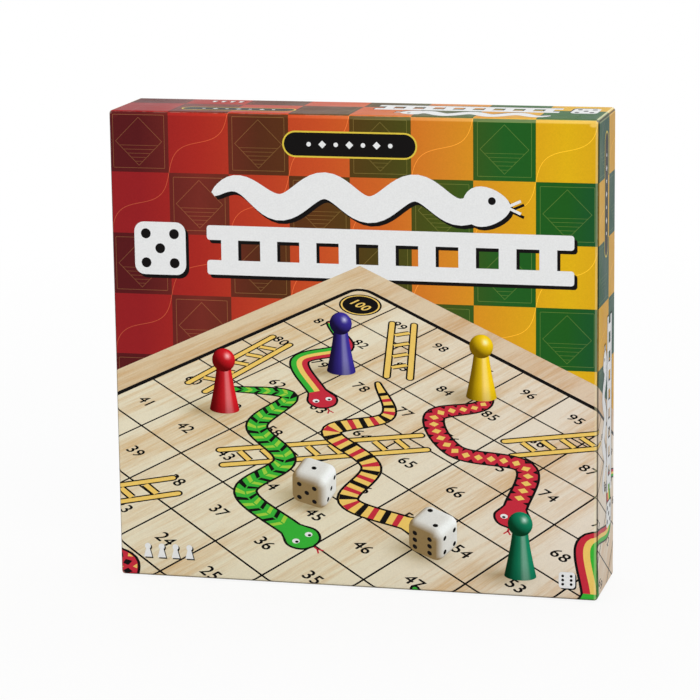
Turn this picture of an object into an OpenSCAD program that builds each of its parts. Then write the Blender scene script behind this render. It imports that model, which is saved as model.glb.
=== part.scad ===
// Boxed snakes and ladders game: a telescoping greyboard carton that stands upright, with
// the playing board, the pawns, the dice and the rules held in a formed tray inside it.
// Every piece is drawn for a carton lying on its back, with z rising from the back face to
// the front face, and upright() then stands it up with its front towards -Y.

/* [Carton] */
// Width of the closed carton
box_w = 268; // [210:1:340]
// Height of the closed carton as it stands
box_h = 260; // [206:1:330]
// Depth of the closed carton, from the front face to the back face
box_d = 54; // [42:1:90]
// Radius of the carton's outer edges
edge_r = 2; // [1:0.1:3]
// Thickness of the greyboard walls
greyboard_t = 2; // [1.2:0.1:3]
// Thickness of the covering paper
paper_t = 0.3; // [0.2:0.05:0.5]
// Width of the paper turned in over each rim
turn_in = 16; // [8:1:30]
// Clearance between the lid's walls and the base's walls, on each side
fit_gap = 0.4; // [0.3:0.1:1.5]
// How far the lid's rim stops short of the carton's back face
rim_gap = 1.2; // [0.5:0.1:6]
// Gap between the ends of two walls that meet at a corner
joint_gap = 0.4; // [0.2:0.1:0.8]

/* [Corner stays] */
// Width of the stay tape on each of the two walls that it joins
stay_w = 18; // [10:1:30]
// Thickness of the stay tape
stay_t = 0.2; // [0.1:0.05:0.4]
// Distance from each end of a wall to the end of its stay tape
stay_margin = 4; // [2:0.5:10]

/* [Insert tray] */
// Thickness of the formed plastic sheet
tray_t = 0.8; // [0.5:0.1:1.2]
// Clearance between the tray's foot and the base's walls
tray_gap = 0.8; // [0.8:0.1:2]
// How much narrower the tray's top is than its foot, on each side
skirt_taper = 2; // [0.5:0.1:4]
// Radius of the tray's upright corners
skirt_r = 5; // [2:0.5:12]
// Width of the raised rim beside the playing board, on its narrower sides
rim_w = 4; // [3:0.5:12]
// Radius of the floor of each well
well_r = 1.5; // [1:0.1:2.5]
// Clearance between a piece and the sides of its well
well_gap = 0.8; // [0.5:0.1:2]
// Depth at which each piece lies below the deck
well_cover = 0.6; // [0.4:0.1:2]
// Room for a finger between two wells
finger_w = 16; // [10:1:20]
// Width of the finger trough that crosses the wells
trough_w = 17; // [10:1:22]
// Depth of the finger trough
trough_depth = 9; // [5:0.5:12]
// Distance from the edge of the deck to the pawns' heads and feet
row_margin = 30; // [20:1:40]
// Radius of the top of each hollow foot
foot_r = 9; // [6:0.5:12]
// How much narrower each hollow foot is at its floor
foot_taper = 2.5; // [1:0.5:4]
// Radius of the notch that lifts the playing board out
notch_r = 7; // [5:0.5:9]
// Depth of that notch
notch_depth = 14; // [9:0.5:18]
// How far that notch reaches past the playing board's edge
notch_reach = 2; // [1:0.5:3]

/* [Playing board] */
// Thickness of the wooden panel
panel_t = 6; // [3:0.5:8]
// Radius of the panel's corners
panel_r = 6; // [2:0.5:15]
// Width of the eased edge round both faces
panel_ease = 0.8; // [0.3:0.1:1.2]
// Clearance between the panel and the tray's raised rim
panel_gap = 0.6; // [0.4:0.1:2]

/* [Pawns] */
// Height of a pawn
pawn_h = 26; // [22:0.5:30]
// Radius of a pawn's foot
pawn_foot_r = 6.5; // [5.5:0.1:7.5]
// Height of the straight foot disc
pawn_disc_h = 2.2; // [1.5:0.1:3]
// Radius of a pawn's round head
pawn_head_r = 4; // [3.6:0.1:4.6]
// Radius of the pawn's neck
pawn_neck_r = 2.3; // [1.8:0.1:2.8]
// Radius of the collar under the head
pawn_collar_r = 3.3; // [3:0.1:3.5]
// Thickness of that collar
pawn_collar_t = 1.2; // [0.8:0.1:1.6]

/* [Dice] */
// Width of a die
die_s = 13; // [11:0.5:15]
// Radius of the ball that rounds a die's corners
die_ball_r = 9.1; // [9:0.1:9.6]
// Radius of a pip's rim
pip_r = 1.25; // [0.9:0.05:1.5]
// Depth of a pip
pip_depth = 0.5; // [0.3:0.05:0.8]
// Distance from the middle of a face to its corner pips, along each edge
pip_pitch = 3.3; // [2.9:0.1:3.6]

/* [Rules leaflet] */
// Width of the folded leaflet
leaflet_w = 148; // [110:1:160]
// Height of the folded leaflet
leaflet_h = 105; // [80:1:115]
// Thickness of the leaflet's paper
sheet_t = 0.15; // [0.1:0.01:0.2]
// Gap between two folded layers
sheet_gap = 0.12; // [0.08:0.01:0.2]
// Distance from the leaflet to the upper edge of the deck
leaflet_margin = 12; // [8:1:16]

/* [Hidden] */

// Clearance between a piece and what it rests on
seat_gap = 0.3;
// How far a cutting tool runs past the surface that it cuts
overrun = 1;
// Folded layers of the leaflet
layers = 4;
// Sides of a round that is drawn as facets
facets = 24;
// Places of the tray's hollow feet, as shares of half the playing board's width
foot_shares = [[-0.85, 0.85], [0.85, 0.85], [-0.85, -0.85], [0.85, -0.85],
               [-0.5, -0.25], [0.5, -0.25]];

// The base telescopes into the lid, inside the lid's wrapped walls
wall_t = greyboard_t + 2 * paper_t;
base_w = box_w - 2 * wall_t - 2 * fit_gap;
base_h = box_h - 2 * wall_t - 2 * fit_gap;
lid_depth = box_d - rim_gap;
base_depth = box_d - greyboard_t - paper_t - seat_gap;

// The tray stands on the base's floor and ends level with the base's rim
tray_z = greyboard_t + paper_t + seat_gap;
tray_w = base_w - 2 * (greyboard_t + paper_t) - 2 * tray_gap;
tray_h = base_h - 2 * (greyboard_t + paper_t) - 2 * tray_gap;
deck_z = base_depth - panel_t - seat_gap;
deck_s = min(tray_w, tray_h) - 2 * skirt_taper - 2 * rim_w;
panel_s = deck_s - 2 * panel_gap;

// The wells lie in one row across the deck, the dice in the middle
die_well_w = 2 * die_s + 3 * well_gap;
pawn_well_w = 2 * pawn_foot_r + 2 * well_gap;
inner_pawn_x = (die_well_w + pawn_well_w) / 2 + finger_w;
outer_pawn_x = inner_pawn_x + pawn_well_w + finger_w;
row_y = row_margin + pawn_h / 2 - panel_s / 2;
trough_len = 2 * outer_pawn_x + pawn_well_w + 2 * finger_w;

// Heights of the lying pieces' middles
pawn_z = deck_z - well_cover - pawn_foot_r;
die_z = deck_z - well_cover - die_s / 2;
leaflet_t = layers * sheet_t + (layers - 1) * sheet_gap;
leaflet_y = panel_s / 2 - leaflet_margin - leaflet_h / 2;
leaflet_z = deck_z - leaflet_t - seat_gap;

// Length of a pawn's body that lies in the deep end of its well
pawn_deep_len = pawn_h / 3;
pawn_head_z = pawn_h - pawn_head_r;
pawn_collar_z = pawn_head_z - pawn_head_r;

// Stands the lying carton up on its lower edge, centred on the origin
module upright() {
    translate([0, box_d / 2, box_h / 2]) rotate([90, 0, 0]) children();
}

// Turns what is drawn closed at the top over, so that it is closed at the bottom
module closed_below(depth) {
    translate([0, 0, depth]) mirror([0, 0, 1]) children();
}

// A rectangle with round corners
module round_rect(w, h, r) {
    square([w - 2 * r, h], center = true);
    square([w, h - 2 * r], center = true);
    for (x = [r - w / 2, w / 2 - r], y = [r - h / 2, h / 2 - r])
        translate([x, y]) circle(r, $fn = 48);
}

// A wall's profile, standing on its square lower corners, with round upper corners
module round_top(w, d, r) {
    translate([-w / 2, 0]) square([w, d - r]);
    translate([r - w / 2, 0]) square([w - 2 * r, d]);
    for (x = [r - w / 2, w / 2 - r])
        translate([x, d - r]) circle(r, $fn = 48);
}

// A block with round upright and upper edges
module soft_block(w, h, d, r) {
    intersection() {
        linear_extrude(d) round_rect(w, h, r);
        rotate([90, 0, 0]) translate([0, 0, -h / 2]) linear_extrude(h) round_top(w, d, r);
        rotate([90, 0, 90]) translate([0, 0, -w / 2]) linear_extrude(w) round_top(h, d, r);
    }
}

// A block centred on the z axis that stands on z = 0
module block(w, h, d) {
    translate([-w / 2, -h / 2, 0]) cube([w, h, d]);
}

// The corner stay at the side given by sx and sy, on a wall box of this size
module stay(w, h, d, sx, sy) {
    r = edge_r - paper_t;
    translate([0, 0, stay_margin]) linear_extrude(d - edge_r - 2 * stay_margin)
        intersection() {
            difference() {
                round_rect(w, h, r);
                round_rect(w - 2 * stay_t, h - 2 * stay_t, r - stay_t);
            }
            translate([sx * w / 2, sy * h / 2]) square(2 * stay_w, center = true);
        }
}

// One folded blank of greyboard: a panel and four walls, open below. The side walls run
// through, the upper and lower walls butt against them, and the stays lie in shallow steps.
module wall_box(w, h, d) {
    cavity_w = w - 2 * greyboard_t;
    cavity_h = h - 2 * greyboard_t;
    difference() {
        soft_block(w, h, d, edge_r - paper_t);
        translate([0, 0, -overrun]) block(cavity_w, cavity_h, d - greyboard_t + overrun);
        for (sx = [-1, 1], sy = [-1, 1]) {
            translate([sx * (cavity_w - joint_gap) / 2, sy * (h - greyboard_t) / 2, -overrun])
                block(joint_gap, greyboard_t + overrun, d - greyboard_t + overrun);
            stay(w, h, d, sx, sy);
        }
    }
}

// Paper over the outside of a wall box, round its rim and a little way down inside it
module paper_cover(w, h, d) {
    board_w = w - 2 * paper_t;
    board_h = h - 2 * paper_t;
    cavity_w = board_w - 2 * greyboard_t;
    cavity_h = board_h - 2 * greyboard_t;
    difference() {
        soft_block(w, h, d, edge_r);
        soft_block(board_w, board_h, d - paper_t, edge_r - paper_t);
    }
    difference() {
        linear_extrude(paper_t) round_rect(w, h, edge_r);
        translate([0, 0, -overrun])
            block(cavity_w - 2 * paper_t, cavity_h - 2 * paper_t, paper_t + 2 * overrun);
    }
    difference() {
        block(cavity_w, cavity_h, turn_in);
        translate([0, 0, -overrun])
            block(cavity_w - 2 * paper_t, cavity_h - 2 * paper_t, turn_in + 2 * overrun);
    }
}

module lid_board() {
    color("darkgray") upright() translate([0, 0, rim_gap + paper_t])
        wall_box(box_w - 2 * paper_t, box_h - 2 * paper_t, lid_depth - 2 * paper_t);
}

module lid_wrap() {
    color("firebrick") upright() translate([0, 0, rim_gap])
        paper_cover(box_w, box_h, lid_depth);
}

module lid_stay(sx, sy) {
    color("tan") upright() translate([0, 0, rim_gap + paper_t])
        stay(box_w - 2 * paper_t, box_h - 2 * paper_t, lid_depth - 2 * paper_t, sx, sy);
}

module base_board() {
    color("darkgray") upright() closed_below(base_depth) translate([0, 0, paper_t])
        wall_box(base_w - 2 * paper_t, base_h - 2 * paper_t, base_depth - 2 * paper_t);
}

module base_wrap() {
    color("ivory") upright() closed_below(base_depth) paper_cover(base_w, base_h, base_depth);
}

module base_stay(sx, sy) {
    color("tan") upright() closed_below(base_depth) translate([0, 0, paper_t])
        stay(base_w - 2 * paper_t, base_h - 2 * paper_t, base_depth - 2 * paper_t, sx, sy);
}

// A thin rounded plate that a hull joins to another
module plate(w, h, r) {
    for (x = [r - w / 2, w / 2 - r], y = [r - h / 2, h / 2 - r])
        translate([x, y, 0]) cylinder(r = r, h = tray_t, $fn = facets);
}

// A well cut down from z = 0: its floor measures w by h, its sides lean out towards the top,
// and its floor's edge is round. skin widens and deepens it by the sheet's thickness.
module well(w, h, depth, skin) {
    lean = depth * tan(4);
    round_in = min(well_r, depth / 2);
    round_out = round_in + skin;
    corner_r = well_r + round_in + skin;
    hull() {
        plate(w + 2 * (lean + skin), h + 2 * (lean + skin), corner_r + lean);
        for (a = [0 : 30 : 90]) {
            inset = round_out * (1 - cos(a)) - skin;
            translate([0, 0, round_in - depth - round_out * sin(a)])
                plate(w - 2 * inset, h - 2 * inset, corner_r - skin - inset);
        }
    }
}

// The hollow that a lying pawn drops into, deep for its foot and shallow for its head
module pawn_well(skin) {
    deep_w = pawn_well_w;
    deep_h = pawn_deep_len + 2 * well_gap;
    shallow_w = 2 * pawn_head_r + 2 * well_gap;
    shallow_h = pawn_h + 2 * well_gap;
    axis_depth = well_cover + pawn_foot_r;
    translate([0, pawn_deep_len / 2 - pawn_h / 2, 0])
        well(deep_w, deep_h, axis_depth + pawn_foot_r + seat_gap, skin);
    well(shallow_w, shallow_h, axis_depth + pawn_head_r + seat_gap, skin);
}

// Every hollow of the tray that opens on the deck
module deck_wells(skin) {
    for (x = [-outer_pawn_x, -inner_pawn_x, inner_pawn_x, outer_pawn_x])
        translate([x, row_y, 0]) pawn_well(skin);
    translate([0, row_y, 0])
        well(die_well_w, die_s + 2 * well_gap, die_s + well_cover + seat_gap, skin);
    translate([0, row_y, 0]) well(trough_len, trough_w, trough_depth, skin);
    translate([0, leaflet_y, 0])
        well(leaflet_w + 2 * well_gap, leaflet_h + 2 * well_gap, leaflet_t + 2 * seat_gap, skin);
}

// The hollow feet that carry the deck on the base's floor
module hollow_feet(skin) {
    foot_depth = deck_z - tray_z - tray_t;
    for (place = foot_shares)
        translate([place[0] * panel_s / 2, place[1] * panel_s / 2, -foot_depth - skin])
            cylinder(r1 = foot_r - foot_taper + skin, r2 = foot_r + skin,
                     h = foot_depth + skin + overrun, $fn = facets);
}

// The recess that the playing board lies in, and its two lifting notches
module panel_recess(skin) {
    translate([0, 0, base_depth]) well(deck_s, deck_s, panel_t + seat_gap, skin);
    for (x = [-1, 1])
        translate([x * (panel_s / 2 + notch_reach - notch_r), 0, base_depth - notch_depth - skin])
            cylinder(r = notch_r + skin, h = notch_depth + skin + overrun, $fn = facets);
}

// The outside of the tray's skirt, or with a skin of -tray_t its inside
module skirt(skin) {
    hull() {
        translate([0, 0, tray_z]) plate(tray_w + 2 * skin, tray_h + 2 * skin, skirt_r + skin);
        translate([0, 0, base_depth + skin - tray_t])
            plate(tray_w - 2 * skirt_taper + 2 * skin, tray_h - 2 * skirt_taper + 2 * skin,
                  skirt_r + skin);
    }
}

// One sheet of plastic drawn down into a skirt, a recess, wells and hollow feet
module insert_tray() {
    color("dimgray") upright() difference() {
        union() {
            difference() {
                skirt(0);
                skirt(-tray_t);
            }
            intersection() {
                skirt(0);
                union() {
                    panel_recess(tray_t);
                    translate([0, 0, deck_z]) deck_wells(tray_t);
                    translate([0, 0, deck_z]) hollow_feet(tray_t);
                }
            }
        }
        panel_recess(0);
        translate([0, 0, deck_z]) deck_wells(0);
        translate([0, 0, deck_z]) hollow_feet(0);
    }
}

// One sheet folded to and fro into layers, seen from its edge
module folded_profile() {
    pitch = sheet_t + sheet_gap;
    for (i = [0 : layers - 1])
        translate([-leaflet_h / 2, i * pitch]) square([leaflet_h, sheet_t]);
    for (i = [0 : layers - 2])
        translate([i % 2 == 0 ? -leaflet_h / 2 : leaflet_h / 2 - sheet_t, i * pitch])
            square([sheet_t, pitch + sheet_t]);
}

module rules_leaflet() {
    color("white") upright() translate([-leaflet_w / 2, leaflet_y, leaflet_z])
        rotate([90, 0, 90]) linear_extrude(leaflet_w) folded_profile();
}

// A wooden panel with round corners and eased edges
module game_board() {
    color("burlywood") upright() translate([0, 0, deck_z + seat_gap]) hull() {
        for (x = [-1, 1], y = [-1, 1]) translate([x, y, 0] * (panel_s / 2 - panel_r)) {
            translate([0, 0, panel_ease])
                cylinder(r = panel_r, h = panel_t - 2 * panel_ease, $fn = 32);
            cylinder(r = panel_r - panel_ease, h = panel_t, $fn = 32);
        }
    }
}

// Half of a pawn's outline: foot disc, hollow flare, collar and round head
module pawn_outline() {
    flare_h = pawn_collar_z - pawn_disc_h;
    flare_w = pawn_foot_r - pawn_neck_r;
    steps = 10;
    flare = [for (i = [0 : steps])
        [pawn_neck_r + flare_w * pow(1 - i / steps, 2.6), pawn_disc_h + flare_h * i / steps]];
    square([pawn_foot_r, pawn_disc_h]);
    polygon(concat([[0, 0], [pawn_foot_r, 0]], flare, [[0, pawn_collar_z]]));
    translate([0, pawn_collar_z - pawn_collar_t]) square([pawn_collar_r, pawn_collar_t]);
    square([pawn_neck_r, pawn_head_z]);
    intersection() {
        translate([0, pawn_head_z]) circle(pawn_head_r, $fn = 48);
        square([pawn_head_r, pawn_h]);
    }
}

// A pawn that lies in its well at x, its head towards the carton's top
module pawn(x) {
    upright() translate([x, row_y - pawn_h / 2, pawn_z]) rotate([-90, 0, 0])
        rotate_extrude($fn = 64) pawn_outline();
}

module pawn_red() { color("red") pawn(-outer_pawn_x); }
module pawn_yellow() { color("gold") pawn(-inner_pawn_x); }
module pawn_blue() { color("blue") pawn(inner_pawn_x); }
module pawn_green() { color("green") pawn(outer_pawn_x); }

// Pips of one face of a die, drawn on the face that looks up, from one to six
module pips(count) {
    ball_r = (pip_r * pip_r + pip_depth * pip_depth) / (2 * pip_depth);
    corner = [[-1, -1], [1, 1], [-1, 1], [1, -1], [-1, 0], [1, 0]];
    places = count == 1 ? [[0, 0]] : count % 2 == 1
        ? concat([[0, 0]], [for (i = [0 : count - 2]) corner[i]])
        : [for (i = [0 : count - 1]) corner[i]];
    for (p = places)
        translate([p[0] * pip_pitch, p[1] * pip_pitch, die_s / 2 + ball_r - pip_depth])
            sphere(ball_r, $fn = 32);
}

// A cube rounded by a ball, with drilled pips that add up to seven on opposite faces
module die(x, turn) {
    upright() translate([x, row_y, die_z]) rotate(turn) difference() {
        intersection() {
            cube(die_s, center = true);
            sphere(die_ball_r, $fn = 64);
        }
        pips(5);
        rotate([180, 0, 0]) pips(2);
        rotate([90, 0, 0]) pips(4);
        rotate([-90, 0, 0]) pips(3);
        rotate([0, 90, 0]) pips(1);
        rotate([0, -90, 0]) pips(6);
    }
}

module die_a() { color("white") die(-(die_s + well_gap) / 2, [0, 0, 0]); }
module die_b() { color("white") die((die_s + well_gap) / 2, [90, 0, 90]); }

lid_board();
lid_wrap();
lid_stay(-1, 1);  // lid_stay_top_left
lid_stay(1, 1);  // lid_stay_top_right
lid_stay(-1, -1);  // lid_stay_bottom_left
lid_stay(1, -1);  // lid_stay_bottom_right
base_board();
base_wrap();
base_stay(-1, 1);  // base_stay_top_left
base_stay(1, 1);  // base_stay_top_right
base_stay(-1, -1);  // base_stay_bottom_left
base_stay(1, -1);  // base_stay_bottom_right
insert_tray();
rules_leaflet();
game_board();
pawn_red();
pawn_yellow();
pawn_blue();
pawn_green();
die_a();
die_b();
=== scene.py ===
"""Looks of the boxed snakes and ladders game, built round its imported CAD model."""

import bisect
import copy
import math

import bpy
import numpy as np
from mathutils import Matrix, Vector
from mathutils.geometry import tessellate_polygon

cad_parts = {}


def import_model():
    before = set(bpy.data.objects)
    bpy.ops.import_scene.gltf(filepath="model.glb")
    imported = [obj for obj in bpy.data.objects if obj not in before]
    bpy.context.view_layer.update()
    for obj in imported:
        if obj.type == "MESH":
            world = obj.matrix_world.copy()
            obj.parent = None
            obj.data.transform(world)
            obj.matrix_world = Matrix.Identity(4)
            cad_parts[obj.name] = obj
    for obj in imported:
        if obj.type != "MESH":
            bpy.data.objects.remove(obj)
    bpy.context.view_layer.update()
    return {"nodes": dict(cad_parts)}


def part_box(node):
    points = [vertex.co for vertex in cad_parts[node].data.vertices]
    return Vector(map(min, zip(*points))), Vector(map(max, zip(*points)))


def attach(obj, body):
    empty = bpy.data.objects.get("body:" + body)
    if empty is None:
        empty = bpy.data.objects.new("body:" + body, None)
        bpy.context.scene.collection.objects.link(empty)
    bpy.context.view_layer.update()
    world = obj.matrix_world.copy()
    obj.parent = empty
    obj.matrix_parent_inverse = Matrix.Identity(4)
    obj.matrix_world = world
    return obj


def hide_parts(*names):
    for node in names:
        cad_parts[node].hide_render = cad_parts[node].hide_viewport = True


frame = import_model()
nodes = frame["nodes"]

# Sizes, in millimetres
MM = 0.001
EDGE_R = 2.0
RIM_BEND = 0.3
PAPER_IN = 0.15  # how far the paper lies inside the CAD box, which leaves room for the ink
PAPER_BACK = 0.28  # the same for the paper's other face
LINING_IN = 2.58  # the same for both faces of the paper where it is turned in
LINING_BACK = 2.32
TURN_IN = 16.0
INK_STEP = 0.011  # the height of one level of ink
INK_SUNK = 0.02  # how far ink reaches into what it lies on
NET_UNIT = 100  # the flat print that makes one unit of its texture coordinates
CELL = 21.6  # one cell of the real board
SMALLEST = 1e-5  # the area below which a cut-off piece of print is dropped

# Colours, from 0 to 255: the plain inks, and the dark and the bright checks from left to right
INKS = {"black": (22, 20, 20), "white": (232, 233, 233), "gold": (222, 196, 70), "yellow": (238, 200, 104),
        "red": (198, 48, 64), "green": (58, 178, 58), "lime": (158, 206, 66), "grey": (120, 120, 122)}
DARK_RAMP = ((88, 28, 30), (118, 46, 38), (88, 46, 28), (92, 56, 26), (78, 68, 26), (70, 84, 28),
             (36, 94, 36), (34, 92, 32), (24, 76, 58), (26, 78, 62))
BRIGHT_RAMP = ((148, 34, 37), (170, 44, 36), (187, 62, 38), (201, 81, 40), (207, 102, 40), (215, 133, 40),
               (220, 157, 32), (226, 179, 26), (215, 160, 32), (215, 160, 32))


def srgb(red, green, blue):
    """An ordinary 0 to 255 colour, as the linear values that nodes take."""
    parts = [c / 255 for c in (red, green, blue)]
    return tuple(c / 12.92 if c < 0.04 else ((c + 0.055) / 1.055) ** 2.4 for c in parts) + (1.0,)


def clamp(value, low, high):
    return min(max(value, low), high)


def linked(name, data):
    """A new object in the scene."""
    made = bpy.data.objects.new(name, data)
    bpy.context.scene.collection.objects.link(made)
    return made


def meshed(name, points, faces, material):
    """A new smooth object of one material."""
    mesh = bpy.data.meshes.new(name)
    mesh.from_pydata(points, [], faces)
    mesh.polygons.foreach_set("use_smooth", [True] * len(mesh.polygons))
    mesh.materials.append(material)
    return linked(name, mesh)


class Nodes:
    """A node tree in the making."""

    def __init__(self, tree):
        self.tree = tree

    def put(self, socket, value):
        if isinstance(value, bpy.types.NodeSocket):
            self.tree.links.new(value, socket)
        else:
            socket.default_value = value

    def node(self, kind, inputs=None, **settings):
        made = self.tree.nodes.new("ShaderNode" + kind)
        for name, value in settings.items():
            setattr(made, name, value)
        for key, value in (inputs or {}).items():
            self.put(made.inputs[key], value)
        return made

    def math(self, operation, *values):
        """One operation on its values. Where there are more than two, it starts with the last two."""
        while len(values) > 2:
            values = (*values[:-2], self.math(operation, *values[-2:]))
        return self.node("Math", dict(enumerate(values)), operation=operation).outputs[0]

    def times(self, *values):
        return self.math("MULTIPLY", *values)

    def most(self, *values):
        return self.math("MAXIMUM", *values)

    def minus(self, first, second):
        return self.math("SUBTRACT", first, second)

    def mix(self, factor, first, second, blend="MIX"):
        inputs = {0: factor, 6: first, 7: second}
        return self.node("Mix", inputs, data_type="RGBA", blend_type=blend).outputs[2]

    def tone(self, first, second):
        """One colour multiplied by another."""
        return self.mix(1.0, first, second, "MULTIPLY")

    def mapped(self, where, **inputs):
        return self.node("Mapping", {"Vector": where, **inputs}).outputs[0]

    def place(self, kind="Object"):
        """Coordinates on the piece, which move with it."""
        return self.node("TexCoord").outputs[kind]

    def parts(self, vector):
        return self.node("SeparateXYZ", {0: vector}).outputs

    def length(self, vector):
        return self.node("VectorMath", {0: vector}, operation="LENGTH").outputs["Value"]

    def noise(self, where, scale, detail):
        inputs = {"Vector": where, "Scale": scale, "Detail": detail, "Roughness": 0.55}
        return self.node("TexNoise", inputs).outputs[0]

    def between(self, value, low, high, to_low=0.0, to_high=1.0):
        inputs = {"Value": value, "From Min": low, "From Max": high, "To Min": to_low, "To Max": to_high}
        return self.node("MapRange", inputs).outputs[0]

    def clouds(self, where, scale, detail, to_low, to_high, low=0.3, high=0.7):
        """Noise, with its values from low to high spread over another range."""
        return self.between(self.noise(where, scale, detail), low, high, to_low, to_high)

    def ramp(self, factor, stops):
        made = self.node("ValToRGB", {0: factor})
        elements = made.color_ramp.elements
        while len(elements) < len(stops):
            elements.new(1.0)
        for element, (place, colour) in zip(elements, stops):
            element.position = place
            element.color = colour
        return made.outputs[0]

    def shown(self):
        """1 for what the camera sees, also in a gloss or through glass, and 0 for all other light."""
        path = self.node("LightPath").outputs
        return self.most(*[path["Is " + kind + " Ray"] for kind in ("Camera", "Glossy", "Transmission")])


class Finish(Nodes):
    """A material in the making."""

    def __init__(self, name, roughness=0.5, settings=None):
        self.material = bpy.data.materials.new(name)
        self.material.use_nodes = True
        super().__init__(self.material.node_tree)
        self.bsdf = self.tree.nodes["Principled BSDF"]
        for socket, value in {"Roughness": roughness, **(settings or {})}.items():
            self.put(self.bsdf.inputs[socket], value)

    def colour(self, value):
        self.put(self.bsdf.inputs["Base Color"], value)

    def rough(self, value):
        self.put(self.bsdf.inputs["Roughness"], value)

    def bump(self, height, distance):
        """Raises the surface by height times distance, in metres, on top of earlier bumps."""
        made = self.node("Bump", {"Height": height, "Distance": distance, "Strength": 1.0})
        normal = self.bsdf.inputs["Normal"]
        earlier = [link.from_socket for link in self.tree.links if link.to_socket == normal]
        if earlier:
            self.put(made.inputs["Normal"], earlier[0])
        self.put(normal, made.outputs[0])


# Materials of the carton's print

def carton_gaps(finish, where, wrap):
    """How far a point lies from the side walls, the large face, the upper wall and the lower wall."""
    x, y, z = finish.parts(where)
    side = finish.minus(wrap.width / 2 * MM, finish.math("ABSOLUTE", x))
    depth = finish.math("ABSOLUTE", finish.minus(y, wrap.face_y * MM))
    above = finish.minus((wrap.base_z + wrap.height) * MM, z)
    return side, depth, above, finish.minus(z, wrap.base_z * MM)


def stretched_print(finish, toned, x, gaps, wrap):
    """Painted highlight: paler print along the upper edge and where the folded paper bulges at the upper
    corners.
    """
    side, depth, above, _ = gaps
    # Painted highlight along the upper edge of the large face and the side walls
    upright = finish.between(finish.math("MINIMUM", side, depth), 0.6 * MM, 1.8 * MM, 1.0, 0.0)
    highlight_mask = finish.times(upright, finish.between(above, 2.0 * MM, 2.7 * MM, 0.75, 0.0))
    # Painted highlight in a spot at each upper corner of the large face, where the folded paper bulges
    offsets = [finish.math("DIVIDE", finish.minus(gap, middle * MM), reach * MM)
               for gap, middle, reach in ((side, 3.0, 2.4), (above, 3.0, 1.4), (depth, 0.0, 0.5))]
    away = finish.length(finish.node("CombineXYZ", dict(enumerate(offsets))).outputs[0])
    highlight_mask = finish.most(highlight_mask, finish.between(away, 0.6, 1.1, 0.6, 0.0))
    toned = finish.mix(highlight_mask, toned, finish.tone(toned, (1.4, 1.38, 1.3, 1.0)))
    # The painted highlight turns paler towards the right, where the light comes from
    lit_side = finish.between(x, -40 * MM, wrap.width / 2 * MM, 0.0, 0.3)
    return finish.mix(finish.times(highlight_mask, lit_side), toned, srgb(255, 250, 190))


def folded_print(finish, toned, x, gaps):
    """Painted shade on the folds that turn away from the light, and painted highlights on those that face it.
    """
    side, depth, above, below = gaps
    right = finish.between(x, 0.0, MM)
    behind = finish.between(depth, 1.5 * MM, 2.5 * MM)

    def fold(first, second, middle, wide=0.4):
        off = finish.math("ABSOLUTE", finish.minus(second, middle * MM))
        return finish.between(finish.most(first, off), wide * MM, 2 * wide * MM, 1.0, 0.0)

    # Painted shade: dark lines on the side and lower walls behind the front edges, and on the side walls
    # under the upper edges
    dark = finish.most(fold(side, depth, 1.2, 0.5), fold(below, depth, 1.2, 0.65),
                       finish.times(behind, fold(side, above, 1.2)))
    # Painted highlight: a pale line on the large face by its right edge, and on the upper wall by its side
    # edges
    pale = finish.most(finish.times(right, fold(depth, side, 1.3), 0.18),
                       finish.times(behind, fold(above, side, 1.1), 0.6))
    toned = finish.mix(finish.times(dark, 0.8), toned, srgb(24, 20, 12))
    return finish.mix(pale, toned, srgb(250, 248, 200))


def laminate(finish, colour, wrap):
    """Satin laminated print: mottled ink, painted highlights and shade on edges and folds, edges paler as
    partly rubbed and partly painted sheen, an uneven sheen and the slow waves of glued paper.
    """
    where = finish.place()
    x = finish.parts(where)[0]
    gaps = carton_gaps(finish, where, wrap)
    side, depth, above, below = gaps
    level = finish.math("MINIMUM", above, below)
    toned = finish.tone(colour, finish.clouds(where, 1400, 2, 0.955, 1.03))
    # Painted highlights and painted shade along the edges and folds
    toned = folded_print(finish, stretched_print(finish, toned, x, gaps, wrap), x, gaps)
    # On an edge of the carton two of the three gaps are small, and at a corner all three
    corner = finish.math("ADD", side, depth, level)
    nearest = finish.math("MINIMUM", side, depth, level)
    edge = finish.minus(corner, finish.math("ADD", nearest, finish.most(side, depth, level)))
    # Paler along the edges: partly rubbed paper, partly a painted highlight for their sheen
    worn_and_sheen = finish.times(finish.between(edge, 0.2 * MM, 1.1 * MM, 1.0, 0.0),
                        finish.clouds(where, 260, 4, 0.0, 0.3, 0.4, 0.62))
    chipped = finish.times(finish.between(corner, 1.2 * MM, 4.0 * MM, 1.0, 0.0),
                           finish.clouds(where, 700, 3, 0.0, 0.7, 0.4, 0.6))
    finish.colour(finish.mix(finish.most(worn_and_sheen, chipped), toned, srgb(246, 218, 196)))
    finish.put(finish.bsdf.inputs["Specular IOR Level"], 0.02)
    finish.rough(finish.clouds(where, 35, 4, 0.27, 0.38))
    finish.bump(finish.noise(where, 2600, 2), 0.000012)
    finish.bump(finish.noise(where, 55, 3), 0.00025)
    # The side walls' paper is folded round onto the upper and lower walls, and its edge shows through
    lap = finish.between(side, 12.7 * MM, 13.1 * MM)
    finish.bump(finish.times(lap, finish.math("LESS_THAN", level, 1 * MM)), 0.00016)
    return finish.material


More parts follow.
